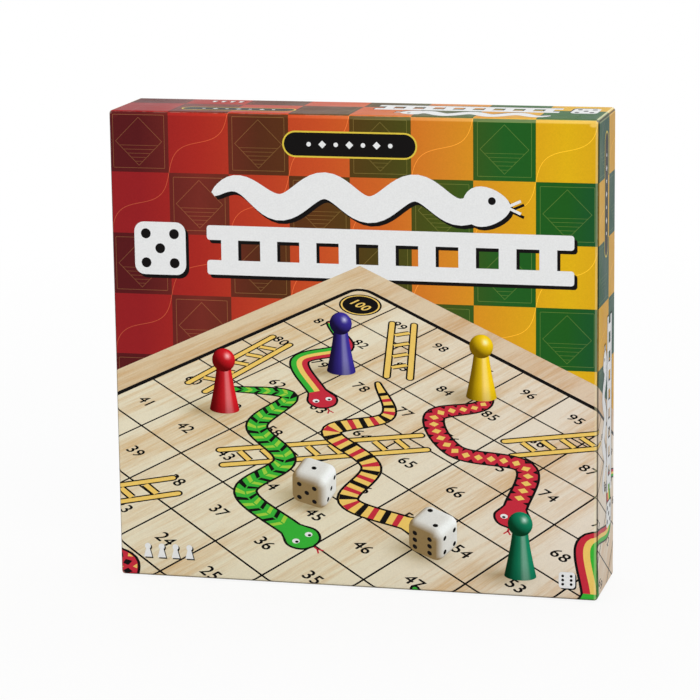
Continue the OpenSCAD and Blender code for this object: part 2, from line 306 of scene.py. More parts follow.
def checks(finish, wrap):
    """The checked colours over the paper, which run on round its edges."""
    square = wrap.square / NET_UNIT
    across, up, _ = finish.parts(finish.place("UV"))
    below_top = finish.minus(wrap.height / NET_UNIT, up)
    column, row = [finish.math("FLOOR", finish.math("DIVIDE", run, square)) for run in (across, below_top)]
    odd = finish.math("PINGPONG", finish.math("ADD", column, row), 1.0)
    along = finish.between(across, -square, 10 * square)

    def ramp(colours):
        stops = [(0.0, colours[0])] + [((i + 1.5) / 11, c) for i, c in enumerate(colours)]
        return finish.ramp(along, [(place, srgb(*colour)) for place, colour in stops])

    return finish.mix(odd, ramp(DARK_RAMP), ramp(BRIGHT_RAMP))


def tint(finish):
    return finish.node("Attribute", attribute_name="tint").outputs["Color"]


def wood_colour(finish, where, pale, deep, scale=1.0):
    """Straight-grained pale wood, with the grain along the second coordinate and deeper bands in it."""
    shades = []
    for across, along, share in ((1.1, 0.13, 0.56), (13, 0.6, 0.24), (64, 2.4, 0.2)):
        streaks = finish.mapped(where, Scale=(across * scale, along * scale, 1))
        shades.append(finish.times(finish.noise(streaks, 1.0, 3), share))
    return finish.ramp(finish.math("ADD", *shades), [(0.4, deep), (0.54, pale), (0.8, pale)])


def printed_wood(wrap):
    """The print of a wooden board: grain, a darker margin and the soft shadows of the pieces on it."""
    finish = Finish("printed wood")
    where = finish.place("UV")
    across, down, _ = finish.parts(where)
    grain = wood_colour(finish, where, srgb(230, 221, 194), srgb(214, 184, 138))
    x = finish.parts(finish.place())[0]
    cooler = finish.tone(grain, (1.0, 0.97, 1.08, 1.0))
    grain = finish.mix(finish.between(x, -10 * MM, 130 * MM), grain, cooler)
    off_middle = finish.most(*[finish.math("ABSOLUTE", finish.minus(c, 5.0)) for c in (across, down)])
    margin = finish.math("GREATER_THAN", off_middle, 5.0)
    toned = finish.mix(margin, grain, finish.tone(grain, srgb(244, 232, 220)))
    return laminate(finish, finish.tone(toned, tint(finish)), wrap)


def wrap_inks(wrap, name):
    """The inks of one printed wrap."""
    made = {ink: Finish(name + " " + ink) for ink in ("line", "pieces", *INKS)}
    colours = {ink: srgb(*colour) for ink, colour in INKS.items()}
    line = made["line"]
    paler = line.tone(checks(line, wrap), (1.6, 1.6, 1.6, 1.0))
    colours["line"] = line.mix(0.1, paler, srgb(255, 226, 130))
    colours["pieces"] = tint(made["pieces"])
    return {ink: laminate(finish, colours[ink], wrap) for ink, finish in made.items()}


# Surfaces to print on

def clip(polygon, inside):
    """The part of a convex polygon where inside, a function of a point, isn't below nought."""
    values = [inside(point) for point in polygon]
    kept = []
    for i, point in enumerate(polygon):
        here, there = values[i], values[i - 1]
        if (here >= 0) != (there >= 0):
            share = there / (there - here)
            kept.append(tuple(a + (b - a) * share for a, b in zip(polygon[i - 1], point)))
        if here >= 0:
            kept.append(point)
    return kept


def clip_strip(polygon, axis, low, high):
    """The part of a convex polygon between two values of one of its coordinates."""
    return clip(clip(polygon, lambda point: point[axis] - low), lambda point: high - point[axis])


def area(polygon):
    return sum(a[0] * b[1] - b[0] * a[1] for a, b in zip(polygon, polygon[1:] + polygon[:1])) / 2


class Sheet:
    """A surface to print on, in flat coordinates, cut into the cells where it is flat."""

    def __init__(self, across, up):
        self.across = across
        self.up = up

    def used(self, i, j):
        return True

    def cells(self, polygon):
        """The pieces of a convex polygon, cut where the sheet bends."""
        low, high = min(p[0] for p in polygon), max(p[0] for p in polygon)
        for i, (left, right) in enumerate(zip(self.across, self.across[1:])):
            if right <= low or left >= high:
                continue
            column = clip_strip(polygon, 0, left, right)
            if len(column) < 3:
                continue
            bottom, top = min(p[1] for p in column), max(p[1] for p in column)
            for j, (lower, upper) in enumerate(zip(self.up, self.up[1:])):
                if upper <= bottom or lower >= top or not self.used(i, j):
                    continue
                piece = clip_strip(column, 1, lower, upper)
                if len(piece) > 2 and abs(area(piece)) > SMALLEST:
                    yield piece


def between_marks(marks, value):
    """The two marks round a value, and its share of the way between them."""
    i = clamp(bisect.bisect_right(marks, value) - 1, 0, len(marks) - 2)
    return marks[i], marks[i + 1], (value - marks[i]) / (marks[i + 1] - marks[i])


def blend(first, second, share):
    """A place and a way between two others."""
    return [a.lerp(b, share) for a, b in zip(first, second)]


def folds(length, beyond):
    """Where paper that folds back past both ends of a length bends."""
    start = [-beyond, -EDGE_R, -EDGE_R / 2, 0, EDGE_R / 2, EDGE_R]
    return start + [length - v for v in reversed(start)]


class Wrap(Sheet):
    """The paper round one half of the carton, laid flat: a face of width by height, and walls round it."""

    def __init__(self, node, turn):
        low, high = (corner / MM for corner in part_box(node))
        self.node = node
        self.turn = turn
        self.width = high.x - low.x
        self.height = high.z - low.z
        self.depth = high.y - low.y
        self.square = self.width / 8
        self.base_z = low.z
        self.face_y = low.y if turn > 0 else high.y
        super().__init__(*[folds(length, self.depth - RIM_BEND) for length in (self.width, self.height)])

    def used(self, i, j):
        beside = self.across[i] < 0 or self.across[i + 1] > self.width
        above = self.up[j] < 0 or self.up[j + 1] > self.height
        return not (beside and above)

    def skin(self, place, depth, out):
        """A point out from the CAD surface, and the way it faces. place lies on the large face."""
        x, z = place
        if out < -EDGE_R:
            point = Vector((clamp(x, -out, self.width + out), depth, clamp(z, -out, self.height + out)))
            normal = Vector((0, 1, 0))
        else:
            inner = Vector((clamp(x, EDGE_R, self.width - EDGE_R), max(depth, EDGE_R),
                            clamp(z, EDGE_R, self.height - EDGE_R)))
            normal = (Vector((x, depth, z)) - inner).normalized()
            point = inner + normal * (EDGE_R + out)
        turned = Vector((self.turn * (point.x - self.width / 2), self.face_y + self.turn * point.y,
                         point.z + self.base_z))
        return turned * MM, Vector((self.turn * normal.x, self.turn * normal.y, normal.z))

    def bent(self, u, v, out):
        """The place and the way of a point of the net, on the rounded paper."""
        depth = max(-u, u - self.width, -v, v - self.height, 0)
        return self.skin((clamp(u, 0, self.width), clamp(v, 0, self.height)), depth, out - PAPER_IN)

    def point(self, u, v, out):
        """The same, but flat between two bends, as the paper's own faces are."""
        left, right, across = between_marks(self.across, u)
        low, high, along = between_marks(self.up, v)
        lower, upper = [blend(self.bent(left, mark, out), self.bent(right, mark, out), across)
                        for mark in (low, high)]
        place, normal = blend(lower, upper, along)
        return place, normal.normalized()

    def wall(self, side, along, depth):
        """The flat place of a point on a wall."""
        return {"right": (self.width + depth, along), "left": (-depth, along),
                "top": (along, self.height + depth), "bottom": (along, -depth)}[side]


class FlatFace(Sheet):
    """The flat upright face of a node that looks along -Y, in X and Z millimetres."""

    def __init__(self, node):
        low, high = (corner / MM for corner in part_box(node))
        super().__init__([low.x, high.x], [low.z, high.z])
        self.y = low.y

    def point(self, u, v, out):
        return Vector((u, self.y - out, v)) * MM, Vector((0, -1, 0))


class Print:
    """Layers of ink on one sheet, one thin closed mesh for each ink."""

    def __init__(self, sheet, body):
        self.sheet = sheet
        self.body = body
        self.inks = {}
        self.place = lambda x, y: (x, y)
        self.base = 0

    def view(self, place, base=0):
        """The same print, drawn on through a map of the plane, with its levels counted from base."""
        made = copy.copy(self)
        made.place = place
        made.base = base
        return made

    def add(self, ink, level, polygon):
        """Adds a convex shape. Its points may carry more values after the first two."""
        polygon = [(*self.place(p[0], p[1]), *p[2:]) for p in polygon]
        if area(polygon) < 0:
            polygon = polygon[::-1]
        for piece in self.sheet.cells(polygon):
            self.inks.setdefault(ink, []).append((self.base + level, piece))

    def fill(self, ink, level, outline, holes=()):
        loops = [outline, *holes]
        points = [p for loop in loops for p in loop]
        for triangle in tessellate_polygon([[Vector((*p, 0)) for p in loop] for loop in loops]):
            self.add(ink, level, [points[i] for i in triangle])

    def ribbon(self, ink, level, points, width, closed=False):
        """A line of even width through the points, mitred where it bends."""
        line = [Vector(p) for p in points]
        count = len(line)
        sides = []
        for i, point in enumerate(line):
            before = line[i - 1] if i or closed else point
            after = line[(i + 1) % count] if i < count - 1 or closed else point
            first = (point - before).normalized() if point != before else (after - point).normalized()
            second = (after - point).normalized() if after != point else first
            along = (first + second).normalized()
            across = Vector((-along.y, along.x)) * (width / 2 / max(along.dot(first), 0.35))
            sides.append((point + across, point - across))
        pairs = zip(sides, sides[1:] + sides[:1]) if closed else zip(sides, sides[1:])
        for (left, right), (next_left, next_right) in pairs:
            self.add(ink, level, [tuple(right), tuple(next_right), tuple(next_left), tuple(left)])

    def build(self, materials, slot):
        for ink, faces in self.inks.items():
            self.piece(ink, faces, materials[ink], slot)

    def piece(self, ink, faces, material, slot):
        """One ink: its faces, the same faces sunk into the sheet, and the sides between them."""
        corners, index, tops, seen = [], {}, [], set()
        for level, face in faces:
            ids = []
            for point in face:
                key = (level, round(point[0], 3), round(point[1], 3))
                if key not in index:
                    index[key] = len(corners)
                    corners.append((level, point))
                if index[key] not in ids:
                    ids.append(index[key])
            if len(ids) > 2 and frozenset(ids) not in seen:
                seen.add(frozenset(ids))
                tops.append(ids)
        count = len(corners)
        edges = {(a, b) for face in tops for a, b in zip(face, face[1:] + face[:1])}
        sides = [(b, a, a + count, b + count) for a, b in sorted(edges) if (b, a) not in edges]
        bottoms = [[i + count for i in reversed(face)] for face in tops]
        upper = [self.sheet.point(p[0], p[1], level * INK_STEP) for level, p in corners]
        lower = [self.sheet.point(p[0], p[1], -INK_SUNK) for _, p in corners]
        name = self.body + "_print_" + ink
        piece = meshed(name, [p for p, _ in upper + lower], tops + bottoms + sides, material)
        mesh = piece.data
        loops = np.zeros(len(mesh.loops), int)
        mesh.loops.foreach_get("vertex_index", loops)
        normals = np.array([n for _, n in upper])
        facing = np.where(loops < count, 1.0, -1.0)[:, None]
        mesh.normals_split_custom_set((normals[loops % count] * facing).tolist())
        # A point carries nothing more, or its tint, or its own texture place and then its tint
        extra = len(corners[0][1]) - 2
        flat = np.array([p[2:4] if extra == 5 else (p[0] / NET_UNIT, p[1] / NET_UNIT) for _, p in corners])
        mesh.uv_layers.new(name="net").data.foreach_set("uv", flat[loops % count].ravel())
        if extra:
            tints = np.array([(*p[-3:], 1.0) for _, p in corners])
            attribute = mesh.color_attributes.new("tint", "FLOAT_COLOR", "POINT")
            attribute.data.foreach_set("color", np.concatenate([tints, tints]).ravel())
        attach(piece, self.body)


# The carton's paper

def make_paper(wrap, name, body, material):
    """The wrap's paper as one closed skin: round its edges, over the rim and turned in."""
    vertices, index, faces, uvs = [], {}, [], []

    def corner(place, depth, out):
        point, _ = wrap.skin(place, depth, out)
        key = tuple(round(c, 7) for c in point)
        if key not in index:
            index[key] = len(vertices)
            vertices.append(point)
        return index[key]

    def face(corners, flats):
        ids = [corner(*c) for c in corners]
        if len(set(ids)) < 3:
            return
        kept = [k for k, i in enumerate(ids) if ids.index(i) == k]
        faces.append([ids[k] for k in kept])
        uvs.extend(flats[k] for k in kept)

    across = sorted({a for a in wrap.across if 0 <= a <= wrap.width})
    up = sorted({v for v in wrap.up if 0 <= v <= wrap.height})
    for out, way in ((-PAPER_IN, 1), (-PAPER_BACK, -1)):
        for x0, x1 in zip(across, across[1:]):
            for z0, z1 in zip(up, up[1:]):
                square = [(x0, z0), (x1, z0), (x1, z1), (x0, z1)][::way]
                face([(p, 0, out) for p in square], square)
    # Down the wall, round the rim, in and back: a point's depth, its way out, and its place in the flat print
    rim = wrap.depth - 0.02
    bend = rim - RIM_BEND
    hem = rim - TURN_IN
    inside = wrap.depth - 0.29
    profile = [*[(depth, -PAPER_IN, depth) for depth in (0, 1, 2, bend)],
               (rim, -PAPER_IN - RIM_BEND, rim), (rim, -2.3, rim + 2), (bend, -LINING_IN, rim + 2.4),
               (hem, -LINING_IN, rim + 18), (hem, -LINING_BACK, rim + 18.3), (inside, -LINING_BACK, rim + 34),
               (inside, -PAPER_BACK, rim + 36), *[(depth, -PAPER_BACK, depth) for depth in (2, 1, 0)]]
    for side, turns in (("right", 1), ("left", -1), ("top", -1), ("bottom", 1)):
        marks = up if side in ("right", "left") else across
        for a0, a1 in zip(marks, marks[1:]):
            for first, second in zip(profile, profile[1:]):
                ring = [(a0, first), (a0, second), (a1, second), (a1, first)][::turns]
                face([(wrap.wall(side, a, 0), depth, out) for a, (depth, out, _) in ring],
                     [wrap.wall(side, a, flat) for a, (_, _, flat) in ring])
    piece = meshed(name, vertices, faces, material)
    piece.data.uv_layers.new(name="net").data.foreach_set("uv", (np.array(uvs) / NET_UNIT).ravel())
    piece.data.set_sharp_from_angle(angle=math.radians(50))
    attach(piece, body)
    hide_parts(wrap.node)
    piece.modifiers.new("weighted", "WEIGHTED_NORMAL").keep_sharp = True


# Outlines and curves

def circle(x, y, radius, count=20):
    turns = [2 * math.pi * i / count for i in range(count)]
    return [(x + radius * math.cos(t), y + radius * math.sin(t)) for t in turns]


def block(x, y, width, height):
    return [(x, y), (x + width, y), (x + width, y + height), (x, y + height)]


def rounded(x0, y0, x1, y1, radius, count=5):
    """A rectangle's outline with round corners, anticlockwise."""
    points = []
    for k, (x, y) in enumerate(((x1 - radius, y1 - radius), (x0 + radius, y1 - radius),
                                (x0 + radius, y0 + radius), (x1 - radius, y0 + radius))):
        for i in range(count + 1):
            turn = math.pi / 2 * (k + i / count)
            points.append((x + radius * math.cos(turn), y + radius * math.sin(turn)))
    return points


def spline(points, steps=12):
    """A smooth curve through the points."""
    ends = [tuple(2 * a - b for a, b in zip(points[0], points[1])), *points,
            tuple(2 * a - b for a, b in zip(points[-1], points[-2]))]
    curve = []
    for p0, p1, p2, p3 in zip(ends, ends[1:], ends[2:], ends[3:]):
        for i in range(steps):
            t = i / steps
            curve.append(tuple(0.5 * (2 * b + (c - a) * t + (2 * a - 5 * b + 4 * c - d) * t * t
                                      + (3 * b - a - 3 * c + d) * t ** 3)
                               for a, b, c, d in zip(p0, p1, p2, p3)))
    return curve + [tuple(points[-1])]


class Path:
    """A curve that can be asked for points beside it, by the length run along it."""

    def __init__(self, points):
        self.points = [Vector(p) for p in points]
        steps = [(b - a).length for a, b in zip(self.points, self.points[1:])]
        self.marks = [sum(steps[:i]) for i in range(len(self.points))]
        self.length = self.marks[-1]

    def way(self, i):
        a, b = self.points[max(i - 1, 0)], self.points[min(i + 1, len(self.points) - 1)]
        return (b - a).normalized()

    def beside(self, run, across):
        run = clamp(run, 0, self.length)
        i = max(k for k, mark in enumerate(self.marks[:-1]) if mark <= run)
        share = (run - self.marks[i]) / (self.marks[i + 1] - self.marks[i])
        point = self.points[i].lerp(self.points[i + 1], share)
        way = self.way(i).lerp(self.way(i + 1), share).normalized()
        return point.x - way.y * across, point.y + way.x * across

    def band(self, start, end, low, high, grow=0.0):
        """A four-sided piece of the strip between two offsets, which are functions of the run."""
        return [self.beside(start, low(start) - grow), self.beside(end, low(end) - grow),
                self.beside(end, high(end) + grow), self.beside(start, high(start) + grow)]


# The board's drawing, with one cell as its unit

OUTLINE = 0.038  # the black line round a snake
SNAKE_HEAD = ((-0.1, 0.5), (0.02, 0.66), (0.14, 0.82), (0.26, 0.74), (0.36, 0.46), (0.4, 0.0))


def snake(art, points, width, kind):
    """A cartoon snake from tail to head: black outline, coloured body, its own markings, eyes and tongue."""
    path = Path(spline(points))
    marking, body, first, second = kind

    def girth(run):
        tail = clamp(run / (path.length * 0.34), 0, 1)
        return width / 2 * (0.22 + 0.78 * tail ** 0.75)

    def band(ink, level, start, end, low, high, grow=0.0, steps=1):
        for k in range(steps):
            a, b = [start + (end - start) * n / steps for n in (k, k + 1)]
            shape = path.band(a, b, lambda run: low * girth(run), lambda run: high * girth(run), grow)
            art.add(ink, level, shape)

    def mark(ink, *spots):
        half = girth(run)
        art.add(ink, 5, [path.beside(run + along, across * half) for along, across in spots])

    steps = max(int(path.length / 0.07), 8)
    band("black", 3, 0, path.length, -1, 1, OUTLINE, steps)
    tail = path.beside(0, 0)
    art.fill("black", 2.8, circle(*tail, girth(0) + OUTLINE, 10))
    art.fill(body, 3.8, circle(*tail, girth(0), 10))
    stripes = ((body, -1, -0.33), (first, -0.33, 0.33), (second, 0.33, 1))
    for ink, low, high in stripes if marking == "stripes" else ((body, -1, 1),):
        band(ink, 4, 0, path.length, low, high, 0, steps)
    run = 0.3
    count = 0
    while marking != "stripes" and run < path.length - 0.2:
        ink = second if count % 2 else first
        if marking == "chevrons":
            for side in (-1, 1):
                mark(ink, (0, 0.08 * side), (-0.07, side), (0, side), (0.07, 0.08 * side))
            run += 0.15
        elif marking == "diamonds":
            mark(first, (-0.07, 0), (0, -0.55), (0.07, 0), (0, 0.55))
            for side in (-1, 1):
                mark(second, (0.06, side), (0.1, 0.5 * side), (0.14, side))
            run += 0.2
        else:
            for low in (-1, 0):
                band(ink, 5, run, run + 0.09, low, low + 1)
            run += 0.19
        count += 1
    head = path.points[-1]
    way = path.way(len(path.points) - 1)
    outline = spline(SNAKE_HEAD, 4)
    outline = outline[:-1] + [(f, -g) for f, g in reversed(outline)]

    def front(f, g):
        return head.x + way.x * f - way.y * g, head.y + way.y * f + way.x * g

    grown = []
    for (f0, g0), (f, g), (f1, g1) in zip(outline[-1:] + outline, outline, outline[1:] + outline[:1]):
        away = Vector(((g0 - g1) * width, f1 - f0)).normalized() * OUTLINE
        grown.append(front(f + (away.x if f > 0 else 0), g * width + away.y))
    art.fill("black", 3.2, grown)
    art.fill(body, 4.3, [front(f, g * width) for f, g in outline])
    for side in (-1, 1):
        art.fill("white", 5, circle(*front(0.17, 0.4 * width * side), 0.056, 14))
        art.fill("black", 6, circle(*front(0.19, 0.4 * width * side), 0.026, 10))
        art.ribbon("red", 3, [front(0.5, 0.0), front(0.58, 0.05 * side)], 0.026)
    art.ribbon("red", 3, [front(0.42, 0.0), front(0.51, 0.0)], 0.03)


def ladder(art, start, end, width=0.4):
    """A wooden ladder: outlined rails, and rungs between them."""
    start, end = Vector(start), Vector(end)
    way = (end - start).normalized()
    side = Vector((-way.y, way.x)) * width / 2
    for rail in (-1, 1):
        ends = [start + side * rail, end + side * rail]
        art.ribbon("black", 1.4, ends, 0.15)
        art.ribbon("yellow", 2.2, ends, 0.092)
        for x, y in ends:
            art.fill("black", 1.6, circle(x, y, 0.075, 12))
            art.fill("yellow", 2.4, circle(x, y, 0.046, 12))
    length = (end - start).length
    count = max(int(length / 0.33), 2)
    across = side * (1 - 0.07 / (width / 2))
    lean = way * 0.06
    for i in range(1, count):
        middle = start + way * (length * i / count)
        ends = [middle - across - lean, middle + across + lean]
        art.ribbon("black", 1.3, ends, 0.14)
        art.ribbon("yellow", 2, ends, 0.082)


def digit_shapes():
    """The ten figures of Blender's own plain font, each one unit high and centred across."""
    shapes = {}
    for figure in "0123456789":
        curve = bpy.data.curves.new("figure", "FONT")
        curve.body = figure
        curve.resolution_u = 3
        holder = linked("figure", curve)
        bpy.context.view_layer.update()
        mesh = bpy.data.meshes.new_from_object(holder)
        points = [v.co for v in mesh.vertices]
        low, high = min(p.y for p in points), max(p.y for p in points)
        middle = (min(p.x for p in points) + max(p.x for p in points)) / 2
        size = high - low
        shapes[figure] = [[((points[i].x - middle) / size, (points[i].y - low) / size - 0.5)
                           for i in face.vertices] for face in mesh.polygons]
        bpy.data.objects.remove(holder)
        bpy.data.meshes.remove(mesh)
        bpy.data.curves.remove(curve)
    return shapes


DIGITS = digit_shapes()
DIGIT_PITCH = 0.76  # from one figure to the next, in their height
BOLD = 0.022  # half the shift between the two prints of a figure


def number(art, ink, level, text, x, y, size, squeeze=1.0):
    """A number round a point, where y runs down. It is printed twice, a little apart, to look bold."""
    pitch = DIGIT_PITCH * size * squeeze
    for k, figure in enumerate(text):
        left = x + (k - (len(text) - 1) / 2) * pitch
        for extra, shift in ((0, -BOLD), (0.2, BOLD)):
            for face in DIGITS[figure]:
                art.add(ink, level + extra, [(left + (a * squeeze + shift) * size, y - (b + shift) * size)
                                             for a, b in face])


# A snake's curve from tail to head, its width, and its markings with their colours
SNAKES = (
    (((1.0, 4.3), (1.9, 3.6), (2.2, 4.6), (3.2, 4.9), (3.4, 5.9), (4.6, 6.0)), 0.3,
     ("chevrons", "green", "black", "lime")),
    (((3.4, 0.6), (4.2, 1.3), (3.9, 2.2), (4.8, 2.7), (5.8, 2.2), (6.4, 3.2)), 0.3,
     ("diamonds", "red", "yellow", "black")),
    (((2.6, 2.2), (3.4, 2.8), (3.1, 3.8), (4.2, 4.0), (4.6, 4.9), (5.6, 4.6)), 0.27,
     ("rings", "yellow", "black", "red")),
    (((0.6, 1.4), (1.4, 1.8), (1.2, 2.7), (2.2, 3.2)), 0.28, ("stripes", "red", "yellow", "green")),
    (((6.6, 5.6), (7.4, 6.3), (7.1, 7.3), (8.2, 7.6), (8.6, 8.6)), 0.3,
     ("rings", "green", "yellow", "black")),
    (((8.5, 0.7), (7.7, 1.2), (8.4, 2.2), (7.6, 2.9), (8.4, 3.9)), 0.3,
     ("stripes", "green", "yellow", "red")),
    (((2.6, 8.7), (3.5, 8.2), (4.3, 9.0), (5.3, 8.5), (5.9, 9.4)), 0.3,
     ("diamonds", "red", "black", "yellow")),
)
LADDERS = (
    ((1.5, 0.4), (2.7, 1.8)), ((0.5, 2.5), (0.7, 4.6)), ((6.2, 0.6), (5.3, 2.0)), ((2.5, 5.6), (4.3, 2.9)),
    ((6.9, 8.6), (6.4, 6.6)), ((9.4, 7.6), (9.3, 5.4)), ((1.4, 8.9), (2.6, 6.6)), ((9.5, 2.6), (8.7, 0.6)),
)


def draw_board(art):
    """A board of ten by ten numbered cells, with its frame, ladders and snakes."""
    for k in range(1, 10):
        art.ribbon("black", 1, [(k, 0), (k, 10)], 0.031)
        art.ribbon("black", 1.1, [(0, k), (10, k)], 0.031)
    art.ribbon("black", 1.2, rounded(0, 0, 10, 10, 0.3), 0.092, closed=True)
    for j in range(10):
        for i in range(10):
            value = 91 - 10 * j + i if j % 2 else 100 - 10 * j - i
            if value == 100:
                art.fill("black", 1, circle(0.5, 0.5, 0.4, 32))
                art.ribbon("yellow", 2, circle(0.5, 0.5, 0.35, 32), 0.03, closed=True)
                number(art, "yellow", 2, "100", 0.5, 0.5, 0.22, 0.9)
            else:
                number(art, "black", 1, str(value), i + 0.5, j + 0.5, 0.2)
    for ends in LADDERS:
        ladder(art, *ends)
    for points, width, kind in SNAKES:
        snake(art, points, width, kind)


def perspective(corners):
    """The map that shows a ten by ten board in perspective with its corners at four places, as a matrix."""
    rows, values = [], []
    for (a, b), (u, v) in zip(((0, 0), (10, 0), (10, 10), (0, 10)), corners):
        rows.append([a, b, 1, 0, 0, 0, -u * a, -u * b])
        rows.append([0, 0, 0, a, b, 1, -v * a, -v * b])
        values += [u, v]
    return np.append(np.linalg.solve(rows, values), 1).reshape(3, 3)


def through(matrix):
    def place(a, b):
        u, v, w = matrix @ (a, b, 1.0)
        return float(u / w), float(v / w)
    return place


# Pictures of pawns and dice, drawn with their own light and shade

LIGHT = Vector((0.6, 0.62, 0.5)).normalized()
GLINT = (LIGHT + Vector((0, 0, 1))).normalized()
WARM_SHADE = (0.2, 0.165, 0.11)
DIE_LIGHT = Vector((0.75, 0.5, 0.43)).normalized()
COOL_LIGHT = (0.9, 1.05, 1.25)
DIE_SHADE = (0.31, 0.21, 0.095)
DIE_WHITE = srgb(236, 236, 228)
DIE_TILT = 38
DIE_ROUND = 0.46  # the radius of a die's edges, where half its width is 1
PIP_PITCH = 0.44
PIP_R = 0.14
PIPS = {1: ((0, 0),), 2: ((-1, -1), (1, 1)), 3: ((-1, -1), (0, 0), (1, 1)),
        4: ((-1, -1), (-1, 1), (1, -1), (1, 1)), 5: ((-1, -1), (-1, 1), (0, 0), (1, -1), (1, 1)),
        6: ((-1, -1), (-1, 0), (-1, 1), (1, -1), (1, 0), (1, 1))}

# The picture's pawns: place, colour and size. Its dice: place, half width, turn and the pips that show
PAWNS = ((205, 110, srgb(238, 200, 20), 1.0), (62, 97, srgb(205, 28, 38), 1.0),
         (128, 121, srgb(58, 48, 150), 0.95), (226, 12, srgb(20, 130, 96), 1.05))
DICE = ((112, 58, 10.5, 66, (3, 5, 1)), (178, 33, 11, 57, (4, 6, 2)))
BOARD_CORNERS = ((139, 167.5), (397, 43), (139, -201), (-140, 37.5))
BOARD_MARGIN = 0.6
PICTURE_BEYOND = 56  # how far the picture runs on round the edges of the front
PICTURE_TOP = 190
PICTURE_STEP = 4.0


def lit(colour, normal, gloss=0.55):
    """A colour as a glossy thing shows it where it faces along normal: right, up, towards the viewer."""
    level = 1.05 * max(normal.dot(LIGHT), 0)
    shine = gloss * max(normal.dot(GLINT), 0) ** 45
    return tuple(min(c * (level + bounce) + shine, 1.0) for c, bounce in zip(colour[:3], WARM_SHADE))


def printed_pawn(art, x, z, colour, size=1.0):
    """The picture of a pawn that stands at x, z, seen from a little above."""
    radius, rise = 8.4 * size, 25.0 * size
    rows, columns, rings, spokes = 12, 12, 6, 24

    def corner(i, j):
        t, turn = i / rows, math.pi * (j / columns - 0.5)
        girth = radius * (0.47 + 0.53 * (1 - t) ** 1.3)
        across = math.sin(turn)
        sag = math.cos(turn) * 0.3 * girth
        normal = Vector((across, 0.22, math.cos(turn))).normalized()
        dim = min(0.72 + 0.9 * t, 1.0)
        return (x + across * girth, z + t * rise - sag, *[c * dim for c in lit(colour, normal, 0.35)])

    for i in range(rows):
        for j in range(columns):
            art.add("pieces", 11, [corner(i, j), corner(i, j + 1), corner(i + 1, j + 1), corner(i + 1, j)])
    head, top = 6.5 * size, z + rise + 2.4 * size

    def dome(ring, k):
        share, turn = ring / rings, 2 * math.pi * k / spokes
        a, b = share * math.cos(turn), share * math.sin(turn)
        normal = Vector((a, b, math.sqrt(max(1 - share * share, 0.02)))).normalized()
        return (x + head * a, top + head * b, *lit(colour, normal))

    for ring in range(rings):
        for k in range(spokes):
            shape = [dome(ring, k), dome(ring + 1, k), dome(ring + 1, k + 1), dome(ring, k + 1)]
            art.add("pieces", 12, shape[1:] if ring == 0 else shape)


def printed_die(art, x, z, half, turn, faces):
    """The picture of a rounded die round x, z. faces gives the pips for its -y, -x and +z sides."""
    look = Matrix.Rotation(math.radians(DIE_TILT), 3, "X") @ Matrix.Rotation(math.radians(turn), 3, "Z")
    count = 10

    def seen(vector):
        turned = look @ vector
        return Vector((turned.x, turned.z, -turned.y))

    def shade(normal):
        level = max(normal.dot(DIE_LIGHT), 0)
        return [min(w * (level * c + bounce), 1.0) for w, c, bounce in zip(DIE_WHITE, COOL_LIGHT, DIE_SHADE)]

    def on_cube(axis, sign, a, b):
        point = [0.0, 0.0, 0.0]
        point[axis], point[axis - 2], point[axis - 1] = sign, a, b
        return Vector(point)

    def corner(axis, sign, m, n):
        """Where a corner of the rounded cube's net is seen, how far it faces the viewer, and its shade."""
        raw = on_cube(axis, sign, 2 * m / count - 1, 2 * n / count - 1)
        core = Vector([clamp(c, DIE_ROUND - 1, 1 - DIE_ROUND) for c in raw])
        normal = (raw - core).normalized()
        flat, facing = seen(core + normal * DIE_ROUND), seen(normal)
        return x + flat.x * half, z + flat.y * half, facing.z, *shade(facing)

    for axis in range(3):
        for sign in (-1, 1):
            for i in range(count):
                for j in range(count):
                    shape = [corner(axis, sign, m, n) for m, n in block(i, j, 1, 1)]
                    if sum(p[2] for p in shape) > 0:
                        art.add("pieces", 11, [(p[0], p[1], *p[3:]) for p in shape])
    for pips, (axis, sign) in zip(faces, ((1, -1), (0, -1), (2, 1))):
        for a, b in PIPS[pips]:
            ring = circle(a * PIP_PITCH, b * PIP_PITCH, PIP_R, 12)
            disc = [seen(on_cube(axis, sign, p, q)) for p, q in ring]
            art.fill("black", 12, [(x + p.x * half, z + p.y * half) for p in disc])


def shadow(x, z):
    """How much light the printed wood shows where the printed pieces throw soft shadows: a warm tint."""
    level = 1.0
    for px, pz, _, size in PAWNS:
        level *= 1 - 0.5 * math.exp(-((x - px + 9) / (13 * size)) ** 2 - ((z - pz + 0.5) / (4.2 * size)) ** 2)
    for px, pz, half, _, _ in DICE:
        level *= 1 - 0.55 * math.exp(-((x - px + 9) / 14) ** 2 - ((z - pz + half * 0.75) / 6) ** 2)
        level *= 1 - 0.5 * math.exp(-((x - px + 2) / 9) ** 2 - ((z - pz + half * 1.3) / 2.5) ** 2)
    return level ** 0.85, level, level ** 1.35


def right_of(start, end):
    """A function that isn't below nought for points on the right of a line."""
    (ax, ay), (bx, by) = start, end
    return lambda point: (by - ay) * (point[0] - ax) - (bx - ax) * (point[1] - ay)


